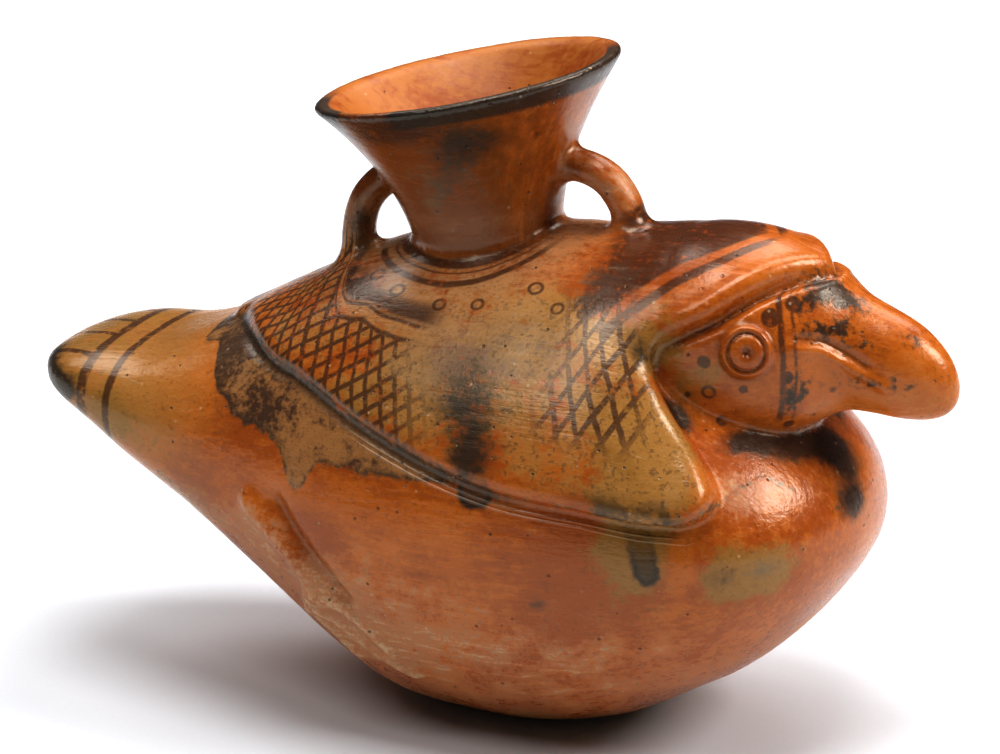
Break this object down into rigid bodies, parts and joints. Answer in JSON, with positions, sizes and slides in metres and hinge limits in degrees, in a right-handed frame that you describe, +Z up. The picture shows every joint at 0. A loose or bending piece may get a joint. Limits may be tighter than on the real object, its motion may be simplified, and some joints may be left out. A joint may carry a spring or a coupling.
{
  "type": "bird effigy jar",
  "caption": "Hollow ceramic jar shaped as a resting bird with a hooked beak, folded wings, a flaring neck with a slanting rim on its back, and small loop handles before and behind the neck.",
  "frame": {"origin": "middle of the flat spot under the belly, on the floor", "axes": "+X to the beak, +Y to the bird's left, +Z up"},
  "size_m": [0.277, 0.1346, 0.191],
  "materials": {
    "painted_clay": "satin burnished orange slip with dark brown painted lines and grey fire clouds"
  },
  "bodies": {
    "root": {"bird_vessel": "painted_clay"}
  },
  "joints": []
}
